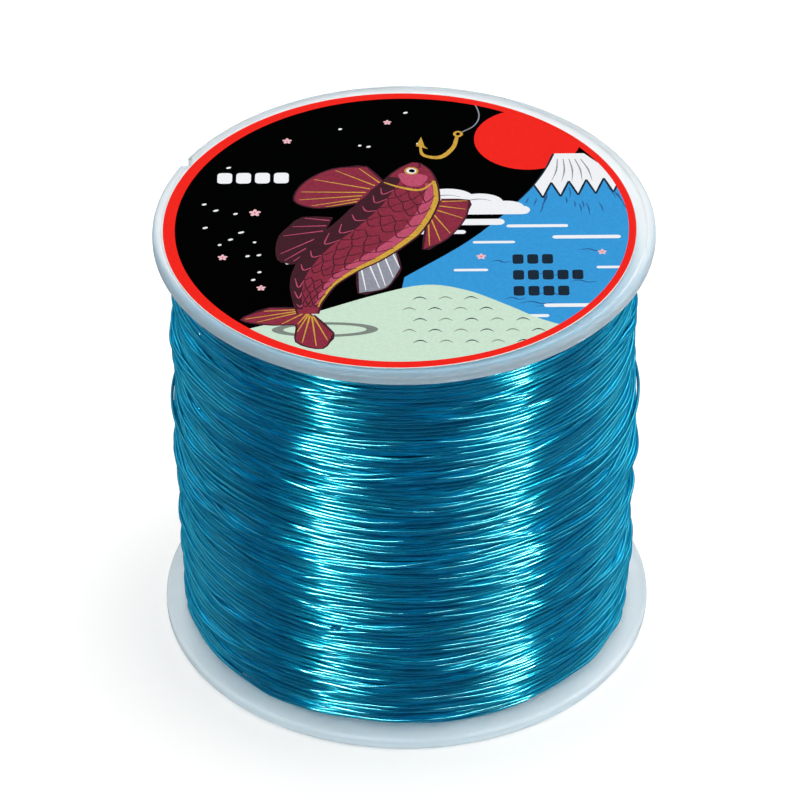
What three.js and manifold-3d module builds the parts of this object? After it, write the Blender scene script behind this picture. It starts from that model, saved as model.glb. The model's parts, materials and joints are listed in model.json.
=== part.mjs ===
// Bulk fishing-line spool: a plastic barrel between two round flanges, wound
// with monofilament line, with a round printed sticker on the top flange.
// Millimetres and degrees, +Z up along the spool's axis. The origin is the centre
// of the lower flange's outer face, so the spool stands on z = 0. Azimuths run
// anticlockwise from +X, seen from above.
import * as THREE from "three";
import { mergeVertices } from "three/addons/utils/BufferGeometryUtils.js";
import Module from "manifold-3d";

const wasm = await Module();
wasm.setup();

const { degToRad, lerp, mapLinear } = THREE.MathUtils;

// ---------------------------------------------------------------- dimensions
const TURNED_SIDES = 64; // facets round every turned shape, shared so that walls stay parallel
const CURVE_SEGMENTS = 6; // segments in each arc of an extruded outline
const WEB_LAP = 0.4; // how far parts behind the flange's web run into it
const CUT_OVERRUN = 1; // how far cutters run past the faces they cut

const SPOOL_H = 58.5; // overall height over both flanges
const FLANGE_R = 31.0;
const RIM_T = 1.6; // flange thickness at the rim
const RIM_EDGE_R = 0.45; // rounding of the rim's outer edges
const RIM_EDGE_STEPS = 3;
const SEAT_R = 29.95; // shallow sticker seat
const SEAT_DEPTH = 0.3;
const SEAT_SLOPE = 0.15; // radial width of the slope from the rim down to the seat

const BARREL_R = 18.0;
const BARREL_WALL = 1.6;
const BARREL_INNER_R = BARREL_R - BARREL_WALL;
const BARREL_GAP = 0.1; // end clearance to each flange

const BORE_R = 5.5; // spindle bore
const BORE_CHAMFER = 0.6;
const HUB_R = 7.3; // outside of the hub tube behind the web
const HUB_L = 9.0;
const SPIGOT_CLEAR = 0.3; // spigot to barrel
const SPIGOT_R = BARREL_INNER_R - SPIGOT_CLEAR; // ring that plugs into the barrel
const SPIGOT_WALL = 1.5;
const SPIGOT_L = 6.2;

const SNAP_COUNT = 4; // barbs on each spigot, and windows at each barrel end
const SNAP_FIRST = 17.5; // azimuth of the first barb
const SNAP_W = 4.4;
const SNAP_OUT = 0.95;
const SNAP_ROOT = 0.5; // depth of the barb's root inside the spigot
const SNAP_Z = 3.1; // from the flange's inner face to the barb
const SNAP_H = 1.7;
const SNAP_LAND = 0.35; // straight part of the barb's tip, before the slope
const WINDOW_CLEAR = 0.4; // clearance round each barb

const RIB_COUNT = 6; // radial ribs between hub and spigot
const RIB_FIRST = SNAP_FIRST + 30;
const RIB_T = 1.2;
const RIB_H = 3.4;
const RIB_INSET = 0.6; // each rib end's distance inside the hub's or spigot's outer face

const DRIVE_HOLES = 3; // round holes for a winder's drive pins
const DRIVE_HOLE_R = 2.0;
const DRIVE_HOLE_SIDES = 20;
const DRIVE_PITCH_R = 10.9;

const KEEPER_W = 1.7; // line-keeper slit in the rim
const KEEPER_DEPTH = 1.25;
const KEEPER_LIP = 0.1; // depth inside the rim at which the mouth flares
const KEEPER_LIP_FLARE = 0.12; // widening on each side at the lip
const KEEPER_MOUTH_FLARE = 0.9; // widening on each side at the cutter's outer end
const KEEPER_TOP_AZ = 152.5;
const KEEPER_BOTTOM_AZ = 62.5;

const ANCHOR_R = 1.1; // hole that the line's inner end is tied through
const ANCHOR_SIDES = 16;
const ANCHOR_CUT_L = 8;
const ANCHOR_Z = 12.0;
const ANCHOR_AZ = 250.0;

const LABEL_R = SEAT_R - 0.75;
const LABEL_T = 0.12;
const LABEL_SHIFT_X = -0.55; // the sticker sits slightly off centre
const LABEL_GLUE = 0.02;

const LINE_R = 0.2; // 0.40 mm line
const LINE_SIDES = 6;
const PACK_GAP_Z = 0.3; // winding to flange
const PACK_GAP_R = 0.35; // winding to barrel
const PACK_BORE_R = BARREL_R + PACK_GAP_R;
const PACK_Z0 = RIM_T + PACK_GAP_Z;
const PACK_Z1 = SPOOL_H - RIM_T - PACK_GAP_Z;
const PACK_END_SPACING = 0.3; // stations nearer than this to either end are skipped
const OUTER_T = 1.4; // thickness of the outer wraps, a solid of their own
const LAYER_GAP = 0.12;
const INNER_STRIDE = 3; // the inner pack uses every third station
const CHORD_DROP = 0.12; // holds the inner pack's longer chords below the outer wraps
const POCKET_DEPTH = 1.3; // pocket in the winding's bore for the tied end
const POCKET_H = 2 * ANCHOR_R;
const POCKET_CUT_INNER_R = BARREL_R - 2;
const POCKET_START = -6; // azimuths from the anchor hole
const POCKET_END = 34;

const TURN_R = 29.42; // centreline radius of the loose last turn
const TURN_Z = 32.2; // its height where the free end lifts off
const TURN_PITCH = 2.4; // climb in one turn
const TURN_SPAN = 351; // degrees of the pack that it covers
const TURN_STEPS = 80;
const LIFT_AZ = 75; // azimuth where the free end lifts off
const TAIL_SPAN = 36; // degrees of free end before the lift-off azimuth
const TAIL_STEPS = 14;
const TAIL_GAP = 0.35; // gap from the lift-off azimuth to each strand's end

// Winding outline as [height above the lower flange, radius]: slightly fuller in
// two places near mid-height, and rounded where it meets the lower flange.
const PACK_PROFILE = [
  [0.0, 27.9], [0.9, 28.3], [3.0, 28.42], [5.5, 28.6], [8.5, 28.75], [12.5, 28.8],
  [16.5, 28.78], [20.0, 28.98], [24.0, 29.15], [27.5, 29.12], [30.5, 28.92], [34.0, 28.82],
  [38.0, 28.95], [41.5, 28.92], [45.0, 28.78], [49.0, 28.78], [52.5, 28.7], [55.3, 28.5],
];

// ------------------------------------------------------------------- helpers
const polar = (radius, azimuth, z) => {
  const angle = degToRad(azimuth);
  return new THREE.Vector3(radius * Math.cos(angle), radius * Math.sin(angle), z);
};

// Azimuths of evenly spaced features.
const around = (count, first) => Array.from({ length: count }, (_, i) => first + (360 / count) * i);

const weld = (geometry) => {
  geometry.deleteAttribute("normal");
  geometry.deleteAttribute("uv");
  geometry.clearGroups();
  return mergeVertices(geometry, 1e-5);
};

// A turned shape from [radius, z] points. The outer side runs upwards.
const turned = (points) => {
  const profile = points.map(([radius, z]) => new THREE.Vector2(radius, z));
  return weld(new THREE.LatheGeometry(profile, TURNED_SIDES).rotateX(Math.PI / 2));
};

// A turned ring, whose profile closes on itself.
const ring = (points) => turned([...points, points[0]]);

const tube = (inner, outer, z0, z1) =>
  ring([
    [inner, z0],
    [outer, z0],
    [outer, z1],
    [inner, z1],
  ]);

// A radial box centred on an azimuth.
const spoke = ({ inner, outer, width, z0, z1, azimuth }) =>
  new THREE.BoxGeometry(outer - inner, width, z1 - z0)
    .translate((inner + outer) / 2, 0, (z0 + z1) / 2)
    .rotateZ(degToRad(azimuth));

// An outline extruded upwards from z0.
const prism = (shape, z0, depth) =>
  new THREE.ExtrudeGeometry(shape, {
    depth,
    bevelEnabled: false,
    curveSegments: CURVE_SEGMENTS,
  }).translate(0, 0, z0);

// A length of line along a curve.
const strand = (path, steps) => {
  const section = Array.from({ length: LINE_SIDES }, (_, i) => {
    const angle = ((i + 0.5) / LINE_SIDES) * 2 * Math.PI;
    return new THREE.Vector2(LINE_R * Math.cos(angle), LINE_R * Math.sin(angle));
  });
  return weld(
    new THREE.ExtrudeGeometry(new THREE.Shape(section), {
      steps,
      extrudePath: path,
      bevelEnabled: false,
    }),
  );
};

const solid = (geometry) => {
  const welded = weld(geometry);
  return new wasm.Manifold(
    new wasm.Mesh({
      numProp: 3,
      vertProperties: new Float32Array(welded.attributes.position.array),
      triVerts: new Uint32Array(welded.index.array),
    }),
  );
};

const union = (geometries) => geometries.map(solid).reduce((body, part) => body.add(part));

const cut = (body, geometries) =>
  geometries.reduce((rest, cutter) => rest.subtract(solid(cutter)), body);

const geometryOf = (body) => {
  const mesh = body.getMesh();
  const geometry = new THREE.BufferGeometry();
  const positions = new Float32Array(mesh.vertProperties);
  geometry.setAttribute("position", new THREE.BufferAttribute(positions, 3));
  geometry.setIndex(new THREE.BufferAttribute(new Uint32Array(mesh.triVerts), 1));
  geometry.computeVertexNormals();
  return geometry;
};

// -------------------------------------------------------------------- flange
// Drawn as the upper flange, with its inner face (towards the line) at z = 0.

// The disc, with rounded rim edges, sticker seat and chamfered bore.
const web = () => {
  const edge = (centreZ, from, to) =>
    Array.from({ length: RIM_EDGE_STEPS + 1 }, (_, i) => {
      const angle = degToRad(from + ((to - from) * i) / RIM_EDGE_STEPS);
      return [
        FLANGE_R - RIM_EDGE_R + RIM_EDGE_R * Math.cos(angle),
        centreZ + RIM_EDGE_R * Math.sin(angle),
      ];
    });
  const seatZ = RIM_T - SEAT_DEPTH;
  return ring([
    [BORE_R, 0],
    ...edge(RIM_EDGE_R, -90, 0),
    ...edge(RIM_T - RIM_EDGE_R, 0, 90),
    [SEAT_R + SEAT_SLOPE, RIM_T],
    [SEAT_R, seatZ],
    [BORE_R + BORE_CHAMFER, seatZ],
    [BORE_R, seatZ - BORE_CHAMFER],
  ]);
};

const rib = (azimuth) =>
  spoke({
    inner: HUB_R - RIB_INSET,
    outer: SPIGOT_R - RIB_INSET,
    width: RIB_T,
    z0: -RIB_H,
    z1: WEB_LAP,
    azimuth,
  });

// A wedge with a flat catch towards the flange and a lead-in slope.
const barb = (azimuth) => {
  const outline = [
    [SPIGOT_R - SNAP_ROOT, -SNAP_Z],
    [SPIGOT_R - SNAP_ROOT, -SNAP_Z - SNAP_H],
    [SPIGOT_R, -SNAP_Z - SNAP_H],
    [SPIGOT_R + SNAP_OUT, -SNAP_Z - SNAP_LAND],
    [SPIGOT_R + SNAP_OUT, -SNAP_Z],
  ].map(([radius, z]) => new THREE.Vector2(radius, z));
  return prism(new THREE.Shape(outline), -SNAP_W / 2, SNAP_W)
    .rotateX(Math.PI / 2)
    .rotateZ(degToRad(azimuth));
};

const driveHole = (azimuth) => {
  const { x, y, z } = polar(DRIVE_PITCH_R, azimuth, RIM_T / 2);
  const length = RIM_T + 2 * CUT_OVERRUN;
  return new THREE.CylinderGeometry(DRIVE_HOLE_R, DRIVE_HOLE_R, length, DRIVE_HOLE_SIDES)
    .rotateX(Math.PI / 2)
    .translate(x, y, z);
};

// Line-keeper slit: a round-bottomed slot, flared at its mouth.
const keeperSlit = (azimuth) => {
  const half = KEEPER_W / 2;
  const rootX = FLANGE_R - KEEPER_DEPTH + half;
  const lipX = FLANGE_R - KEEPER_LIP;
  const mouthX = FLANGE_R + CUT_OVERRUN;
  const outline = new THREE.Shape();
  outline.moveTo(mouthX, -half - KEEPER_MOUTH_FLARE);
  outline.lineTo(mouthX, half + KEEPER_MOUTH_FLARE);
  outline.lineTo(lipX, half + KEEPER_LIP_FLARE);
  outline.lineTo(rootX, half);
  outline.absarc(rootX, 0, half, Math.PI / 2, (3 * Math.PI) / 2, false);
  outline.lineTo(lipX, -half - KEEPER_LIP_FLARE);
  return prism(outline, -CUT_OVERRUN, RIM_T + 2 * CUT_OVERRUN).rotateZ(degToRad(azimuth));
};

const flange = (keeperAzimuth) => {
  const body = union([
    web(),
    tube(BORE_R, HUB_R, -HUB_L, WEB_LAP),
    tube(SPIGOT_R - SPIGOT_WALL, SPIGOT_R, -SPIGOT_L, WEB_LAP),
    ...around(RIB_COUNT, RIB_FIRST).map(rib),
    ...around(SNAP_COUNT, SNAP_FIRST).map(barb),
  ]);
  const holes = around(DRIVE_HOLES, SNAP_FIRST).map(driveHole);
  return geometryOf(cut(body, [...holes, keeperSlit(keeperAzimuth)]));
};

// -------------------------------------------------------------------- barrel
const snapWindow = (z0, z1, azimuth) =>
  spoke({
    inner: BARREL_INNER_R - CUT_OVERRUN,
    outer: BARREL_R + CUT_OVERRUN,
    width: SNAP_W + 2 * WINDOW_CLEAR,
    z0,
    z1,
    azimuth,
  });

const anchorHole = () =>
  new THREE.CylinderGeometry(ANCHOR_R, ANCHOR_R, ANCHOR_CUT_L, ANCHOR_SIDES)
    .rotateZ(Math.PI / 2)
    .translate(BARREL_R, 0, 0)
    .rotateZ(degToRad(ANCHOR_AZ))
    .translate(0, 0, ANCHOR_Z);

const barrel = () => {
  const endZ = RIM_T + BARREL_GAP;
  const near = RIM_T + SNAP_Z - WINDOW_CLEAR;
  const far = RIM_T + SNAP_Z + SNAP_H + WINDOW_CLEAR;
  // The lower flange is turned over about X, which mirrors its barbs' azimuths.
  const windows = around(SNAP_COUNT, SNAP_FIRST).flatMap((azimuth) => [
    snapWindow(SPOOL_H - far, SPOOL_H - near, azimuth),
    snapWindow(near, far, -azimuth),
  ]);
  const wall = solid(tube(BARREL_INNER_R, BARREL_R, endZ, SPOOL_H - endZ));
  return geometryOf(cut(wall, [...windows, anchorHole()]));
};

// --------------------------------------------------------------------- label
const label = () =>
  turned([
    [0, 0],
    [LABEL_R, 0],
    [LABEL_R, LABEL_T],
    [0, LABEL_T],
  ]);

// ------------------------------------------------------------------- winding
const packHeights = [
  PACK_Z0,
  ...PACK_PROFILE.map(([height]) => height + RIM_T).filter(
    (z) => z > PACK_Z0 + PACK_END_SPACING && z < PACK_Z1 - PACK_END_SPACING,
  ),
  PACK_Z1,
];

const packRadius = (z) => {
  const height = z - RIM_T;
  const next = PACK_PROFILE.findIndex(([stationHeight], i) => i > 0 && height <= stationHeight);
  const [lowHeight, lowRadius] = PACK_PROFILE[next - 1];
  const [highHeight, highRadius] = PACK_PROFILE[next];
  return mapLinear(height, lowHeight, highHeight, lowRadius, highRadius);
};

// Pocket for the tied inner end, running along the barrel from the anchor hole.
const pocket = () => {
  const start = degToRad(POCKET_START);
  const end = degToRad(POCKET_END);
  const sector = new THREE.Shape();
  sector.absarc(0, 0, PACK_BORE_R + POCKET_DEPTH, start, end, false);
  sector.absarc(0, 0, POCKET_CUT_INNER_R, end, start, true);
  return prism(sector, ANCHOR_Z - POCKET_H / 2, POCKET_H).rotateZ(degToRad(ANCHOR_AZ));
};

const innerPack = () => {
  const last = packHeights.length - 1;
  const heights = packHeights.filter((_, i) => i % INNER_STRIDE === 0 || i === last);
  const body = ring([
    [PACK_BORE_R, PACK_Z0],
    ...heights.map((z) => [packRadius(z) - OUTER_T - LAYER_GAP - CHORD_DROP, z]),
    [PACK_BORE_R, PACK_Z1],
  ]);
  return geometryOf(cut(solid(body), [pocket()]));
};

const outerWraps = () =>
  ring([
    ...packHeights.map((z) => [packRadius(z), z]),
    ...packHeights.map((z) => [packRadius(z) - OUTER_T, z]).reverse(),
  ]);

// The line's inner end: an overhand knot inside the barrel, a leg out through
// the anchor hole, and the first centimetre lying along the barrel.
const tiedEnd = () => {
  const lieR = PACK_BORE_R + 0.45; // centreline radius where the line lies along the barrel
  // [radius, azimuth, z], from the anchor hole's azimuth and height
  const stations = [
    [BARREL_INNER_R - 1.9, 0, 0],
    [BARREL_INNER_R, 0, 0],
    [BARREL_R - 0.25, 0.4, 0],
    [lieR - 0.12, 2.6, 0.05],
    [lieR, 8, 0.12],
    [lieR, 18, 0.2],
    [lieR, 28, 0.3],
  ];
  const legSteps = 40;
  const path = new THREE.CatmullRomCurve3(stations.map((station) => polar(...station)));

  const knot = { radius: 0.85, steps: 60, turns: 2, windings: 3, inset: 1.25 };
  const core = { radius: 0.62, sides: 10, rings: 8, inset: 1.3 }; // ball inside the knot
  const body = union([
    strand(path, legSteps),
    new THREE.SphereGeometry(core.radius, core.sides, core.rings).translate(
      BARREL_INNER_R - core.inset,
      0,
      0,
    ),
    new THREE.TorusKnotGeometry(
      knot.radius,
      LINE_R,
      knot.steps,
      LINE_SIDES,
      knot.turns,
      knot.windings,
    )
      .rotateY(Math.PI / 2)
      .translate(BARREL_INNER_R - knot.inset, 0, 0),
  ]);
  return geometryOf(body.rotate([0, 0, ANCHOR_AZ]).translate([0, 0, ANCHOR_Z]));
};

// Line round the pack, climbing evenly. Start and end are degrees from the lift-off azimuth.
class Wrap extends THREE.Curve {
  constructor(start, end) {
    super();
    this.start = start;
    this.end = end;
  }
  getPoint(t, target = new THREE.Vector3()) {
    const turn = lerp(this.start, this.end, t);
    return target.copy(polar(TURN_R, LIFT_AZ + turn, TURN_Z + (TURN_PITCH / 360) * turn));
  }
}

const gapAngle = (TAIL_GAP / TURN_R) * (180 / Math.PI);
const lastTurn = () => strand(new Wrap(gapAngle, TURN_SPAN), TURN_STEPS);
const freeEnd = () => strand(new Wrap(-TAIL_SPAN, -gapAngle), TAIL_STEPS);

// ----------------------------------------------------------------- materials
const polypropylene = () =>
  new THREE.MeshStandardMaterial({
    color: 0xdfe4e6,
    roughness: 0.38,
    metalness: 0,
    transparent: true,
    opacity: 0.85,
  });
const nylon = () =>
  new THREE.MeshStandardMaterial({ color: 0x0f6f98, roughness: 0.22, metalness: 0 });
const print = () =>
  new THREE.MeshStandardMaterial({ color: 0x2a1a20, roughness: 0.3, metalness: 0 });

// ------------------------------------------------------------------ assembly
const addPiece = (group, name, geometry, material) => {
  const mesh = new THREE.Mesh(geometry, material);
  mesh.name = name;
  group.add(mesh);
  return mesh;
};

const spool = new THREE.Group();
spool.name = "spool";

const top = addPiece(spool, "top_flange", flange(KEEPER_TOP_AZ), polypropylene());
top.position.z = SPOOL_H - RIM_T;

// The same moulding turned over about the X axis.
const bottom = addPiece(spool, "bottom_flange", flange(-KEEPER_BOTTOM_AZ), polypropylene());
bottom.rotation.x = Math.PI;
bottom.position.z = RIM_T;

addPiece(spool, "core_barrel", barrel(), polypropylene());

const sticker = addPiece(spool, "top_label", label(), print());
sticker.position.set(LABEL_SHIFT_X, 0, SPOOL_H - SEAT_DEPTH + LABEL_GLUE);

const line = new THREE.Group();
line.name = "line";
spool.add(line);
addPiece(line, "line_pack", innerPack(), nylon());
addPiece(line, "outer_wraps", outerWraps(), nylon());
addPiece(line, "tied_inner_end", tiedEnd(), nylon());
addPiece(line, "last_turn", lastTurn(), nylon());
addPiece(line, "free_end", freeEnd(), nylon());

export default spool;
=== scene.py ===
"""Looks for a spool of fishing line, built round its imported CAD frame.

The spool stands on the floor with its axis on +Z, and the camera looks from -Y. Sizes are in
millimetres and become metres when a mesh is made. The winding is laid turn by turn by a small
height-map simulation: each turn comes to rest on the ones below and bridges hollows like a
taut line. The flanges are turned profiles. The sticker is one closed disc whose printed shapes
are cut into its top face.
"""

import json
import math
from contextlib import contextmanager

import bmesh
import bpy
import numpy as np
from mathutils import Matrix, Quaternion, Vector
from mathutils.geometry import delaunay_2d_cdt

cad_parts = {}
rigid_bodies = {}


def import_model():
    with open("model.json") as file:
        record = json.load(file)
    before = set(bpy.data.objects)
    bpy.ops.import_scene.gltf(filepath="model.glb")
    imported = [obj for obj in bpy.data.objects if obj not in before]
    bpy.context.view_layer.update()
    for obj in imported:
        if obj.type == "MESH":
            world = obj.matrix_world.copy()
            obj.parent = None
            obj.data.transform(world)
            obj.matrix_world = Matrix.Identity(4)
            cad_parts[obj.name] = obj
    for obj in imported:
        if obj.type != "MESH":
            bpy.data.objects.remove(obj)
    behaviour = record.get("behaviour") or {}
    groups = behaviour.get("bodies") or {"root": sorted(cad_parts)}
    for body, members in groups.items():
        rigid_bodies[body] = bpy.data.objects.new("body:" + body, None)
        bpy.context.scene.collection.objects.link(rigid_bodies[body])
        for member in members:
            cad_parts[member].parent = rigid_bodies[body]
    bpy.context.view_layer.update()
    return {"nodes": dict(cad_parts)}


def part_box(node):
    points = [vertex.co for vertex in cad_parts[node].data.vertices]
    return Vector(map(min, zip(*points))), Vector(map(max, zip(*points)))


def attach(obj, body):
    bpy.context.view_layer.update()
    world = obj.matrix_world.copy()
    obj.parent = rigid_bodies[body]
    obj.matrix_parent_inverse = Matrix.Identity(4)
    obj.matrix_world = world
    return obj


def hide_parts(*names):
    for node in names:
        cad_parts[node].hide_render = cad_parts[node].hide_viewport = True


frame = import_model()
MM = 0.001

# ------------------------------------------------------------------ dimensions
# Read from the frame.
flange_high = np.array(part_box("top_flange")[1]) / MM
label_low, label_high = (np.array(corner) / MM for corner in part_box("top_label"))
FLANGE_R = float(flange_high[0])
SPOOL_H = float(flange_high[2])
LABEL_R = float(label_high[0] - label_low[0]) / 2
LABEL_X = float(label_high[0] + label_low[0]) / 2
LABEL_Z0, LABEL_Z1 = float(label_low[2]), float(label_high[2])

RIM_T = 1.6  # flange thickness at the rim
GAP_Z0, GAP_Z1 = RIM_T, SPOOL_H - RIM_T  # the flanges' inner faces
LINE_R = 0.205
KEEPER_TOP_AZ, KEEPER_BOTTOM_AZ = 152.5, 62.5  # azimuths of the rim slits, degrees


# --------------------------------------------------------------------- meshes
def new_object(name, mesh):
    obj = bpy.data.objects.new(name, mesh)
    bpy.context.scene.collection.objects.link(obj)
    return obj


def mesh_from(name, verts, faces, smooth=True):
    """verts in mm as an (n, 3) array; faces as an (m, k) array or a list of lists."""
    mesh = bpy.data.meshes.new(name)
    verts = np.asarray(verts, np.float64) * MM
    if isinstance(faces, np.ndarray):
        count, corners = faces.shape
        mesh.vertices.add(len(verts))
        mesh.vertices.foreach_set("co", verts.astype(np.float32).ravel())
        mesh.loops.add(count * corners)
        mesh.loops.foreach_set("vertex_index", faces.astype(np.int32).ravel())
        mesh.polygons.add(count)
        starts = np.arange(0, count * corners, corners, dtype=np.int32)
        mesh.polygons.foreach_set("loop_start", starts)
        mesh.update(calc_edges=True)
    else:
        mesh.from_pydata([tuple(v) for v in verts], [], [list(f) for f in faces])
    if smooth:
        shade_smooth(mesh)
    mesh.validate()
    return mesh


def shade_smooth(mesh):
    mesh.polygons.foreach_set("use_smooth", np.ones(len(mesh.polygons), bool))


@contextmanager
def edited(mesh):
    """Opens a mesh as a bmesh and writes it back at the end."""
    bm = bmesh.new()
    bm.from_mesh(mesh)
    yield bm
    bm.to_mesh(mesh)
    bm.free()


def sharpen(mesh, degrees):
    """Marks edges sharper than this, so that smooth shading stops at them."""
    limit = math.radians(degrees)
    with edited(mesh) as bm:
        for edge in bm.edges:
            edge.smooth = not (len(edge.link_faces) == 2 and edge.calc_face_angle(0) > limit)


def register(obj, ride, replaces=None):
    """Attaches the object to the body it moves with, and hides the CAD node it replaces."""
    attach(obj, ride)
    if replaces:
        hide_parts(replaces)


# ------------------------------------------------------------------ materials
class Graph:
    """A short way to write the node tree of a material or world."""

    def __init__(self, owner, output="OutputMaterial"):
        owner.use_nodes = True
        self.owner = owner
        self.tree = owner.node_tree
        self.tree.nodes.clear()
        self.output = self.node(output)

    def node(self, kind, sockets=None, **settings):
        """Adds a node; sockets maps input names or numbers to values, nodes or sockets."""
        node = self.tree.nodes.new("ShaderNode" + kind)
        for key, value in settings.items():
            setattr(node, key, value)
        for key, value in (sockets or {}).items():
            self.feed(node.inputs[key], value)
        return node

    def feed(self, socket, value):
        if isinstance(value, bpy.types.Node):
            value = value.outputs[0]
        if isinstance(value, bpy.types.NodeSocket):
            self.tree.links.new(value, socket)
        else:
            socket.default_value = value

    def surface(self, shader):
        self.feed(self.output.inputs["Surface"], shader)

    def noise(self, scale, detail, roughness, distortion=0.0):
        """Noise in object space, with features per metre along each axis."""
        coords = self.node("TexCoord").outputs["Object"]
        sockets = {
            "Vector": self.node("Mapping", {"Vector": coords, "Scale": scale}),
            "Scale": 1.0,
            "Detail": detail,
            "Roughness": roughness,
            "Distortion": distortion,
        }
        return self.node("TexNoise", sockets).outputs["Fac"]

    def ramp(self, fac, stops):
        """stops: (position, (red, green, blue))."""
        node = self.node("ValToRGB", {"Fac": fac})
        elements = node.color_ramp.elements
        while len(elements) < len(stops):
            elements.new(0.5)
        for element, (position, colour) in zip(elements, stops):
            element.position = position
            element.color = (*colour, 1)
        return node.outputs["Color"]

    def map_range(self, value, source, target, **settings):
        sockets = {
            "Value": value,
            "From Min": source[0],
            "From Max": source[1],
            "To Min": target[0],
            "To Max": target[1],
        }
        return self.node("MapRange", sockets, **settings).outputs[0]

    def math(self, operation, a, b):
        return self.node("Math", {0: a, 1: b}, operation=operation).outputs[0]

    def mix(self, fac, a, b, blend="MIX"):
        sockets = {"Fac": fac, "Color1": a, "Color2": b}
        return self.node("MixRGB", sockets, blend_type=blend).outputs[0]

    def bump(self, height, strength, distance):
        sockets = {"Height": height, "Strength": strength, "Distance": distance}
        return self.node("Bump", sockets).outputs[0]

    def mirror_rays(self, light_path):
        """1 for reflected rays that have not come through the plastic."""
        direct = self.math("SUBTRACT", 1.0, light_path.outputs["Is Transmission Ray"])
        return self.math("MULTIPLY", light_path.outputs["Is Glossy Ray"], direct)


def srgb(*channels):
    """Linear colour from 0-255 sRGB."""

    def linear(c):
        c /= 255
        return c / 12.92 if c <= 0.04045 else ((c + 0.055) / 1.055) ** 2.4

    return tuple(linear(c) for c in channels)


# Painted light: the base colour of the strands below is brightened by these factors per channel.
SUNK_PAINTED_LIGHT = (2.0, 3.6, 3.1, 1)  # how much brighter each channel is on the strands below


def line_material(name, deep, bright):
    """Tinted clear nylon: light goes into the strand and comes out blue, a cyan sheen from
    light that has gone round inside it, and a sharp white gloss on top."""
    g = Graph(bpy.data.materials.new(name))
    # Colour drifts a little along and between strands.
    broad = g.noise(scale=(160, 160, 900), detail=3.0, roughness=0.6)
    fine = g.noise(scale=(420, 420, 5200), detail=1.0, roughness=0.5)
    drift = g.math("ADD", g.math("MULTIPLY", broad, 0.55), g.math("MULTIPLY", fine, 0.45))
    base = g.ramp(drift, [(0.30, deep), (0.72, bright)])
    # Painted light: the strands below are brightened towards a greener blue in their base colour,
    # standing in for light that passes down to them through the clear strands above.
    sunk = g.node("Attribute", attribute_name="sunk").outputs["Fac"]
    lit = g.map_range(sunk, source=(0.06, 0.50), target=(0.0, 1.0))
    base = g.mix(lit, base, g.mix(1.0, base, SUNK_PAINTED_LIGHT, blend="MULTIPLY"))
    # Faint drawing marks along the strand.
    marks = g.noise(scale=(900, 900, 9000), detail=2.0, roughness=0.6)
    normal = g.bump(marks, strength=0.12, distance=0.00002)
    shader = g.node("BsdfPrincipled", {
        "Base Color": base,
        "Roughness": 0.5,
        "Specular IOR Level": 0.0,
        "Subsurface Weight": 0.8,
        "Subsurface Radius": (0.00005, 0.0006, 0.0009),
        "Subsurface Scale": 1.0,
        "Normal": normal,
    })
    # Light that goes round inside a strand leaves in a fan across it, but hardly along it.
    position = g.node("NewGeometry").outputs["Position"]
    along = g.node("VectorMath", {0: (0.0, 0.0, 1.0), 1: position}, operation="CROSS_PRODUCT")
    fan_sheen = g.node("BsdfAnisotropic", {
        "Color": (0.004, 0.80, 1.0, 1),
        "Roughness": 0.44,
        "Anisotropy": 0.72,
        "Normal": normal,
        "Tangent": along,
    })
    cyan_sheen = g.node("BsdfAnisotropic", {
        "Color": (0.03, 0.86, 1.0, 1),
        "Roughness": g.map_range(fine, source=(0.3, 0.7), target=(0.14, 0.22)),
        "Normal": normal,
    })
    gloss = g.node("BsdfAnisotropic", {
        "Color": (0.9, 1.0, 1.0, 1),
        "Roughness": 0.05,
        "Normal": normal,
    })
    fresnel = g.node("Fresnel", {"IOR": 1.72, "Normal": normal})
    edge_sheen = g.math("MULTIPLY", g.math("MINIMUM", fresnel, 0.26), 1.1)
    # Share of each layer over the ones below it.
    for share, layer in ((0.032, fan_sheen), (edge_sheen, cyan_sheen), (0.022, gloss)):
        shader = g.node("MixShader", {"Fac": share, 1: shader, 2: layer})
    # Painted light: seen through the milky flanges, the winding emits a soft blue light, standing
    # in for light come down into it.
    through = g.node("LightPath").outputs["Is Transmission Ray"]
    painted_glow = g.node("Emission", {
        "Color": (0.0, 0.32, 0.52, 1),
        "Strength": g.math("MULTIPLY", through, 0.8),
    })
    g.surface(g.node("AddShader", {0: shader, 1: painted_glow}))
    return g.owner


def plastic_material(name, tint, transmission, roughness):
    """Milky polypropylene: see-through but hazy, with soft flow marks and a fine texture."""
    g = Graph(bpy.data.materials.new(name))
    flow = g.noise(scale=(35, 35, 120), detail=3.0, roughness=0.55, distortion=0.6)
    grain = g.noise(scale=(2500, 2500, 2500), detail=2.0, roughness=0.6)
    rough_range = (roughness - 0.02, roughness + 0.03)
    g.surface(g.node("BsdfPrincipled", {
        "Base Color": g.ramp(flow, [(0.3, tuple(0.985 * c for c in tint)), (0.7, tint)]),
        "Roughness": g.map_range(flow, source=(0.3, 0.7), target=rough_range),
        "IOR": 1.49,
        "Specular IOR Level": 0.35,
        "Transmission Weight": transmission,
        "Subsurface Weight": 0.5,
        "Subsurface Radius": (0.004, 0.0045, 0.005),
        "Subsurface Scale": 0.4,
        "Normal": g.bump(grain, strength=0.05, distance=0.00003),
    }))
    return g.owner


def print_material(name, colour, roughness, specular, mottling):
    """Printed vinyl: flat ink, a little mottled, with a slight orange peel in the varnish."""
    g = Graph(bpy.data.materials.new(name))
    mottle = g.noise(scale=(2600, 2600, 2600), detail=3.0, roughness=0.65)
    dark = tuple(c * (1 - mottling) for c in colour)
    light = tuple(min(1.0, c * (1 + mottling)) for c in colour)
    peel = g.noise(scale=(420, 420, 420), detail=2.0, roughness=0.5)
    g.surface(g.node("BsdfPrincipled", {
        "Base Color": g.ramp(mottle, [(0.35, dark), (0.65, light)]),
        "Roughness": roughness,
        "Specular IOR Level": specular,
        "Normal": g.bump(peel, strength=0.05, distance=0.00005),
    }))
    return g.owner


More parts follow.
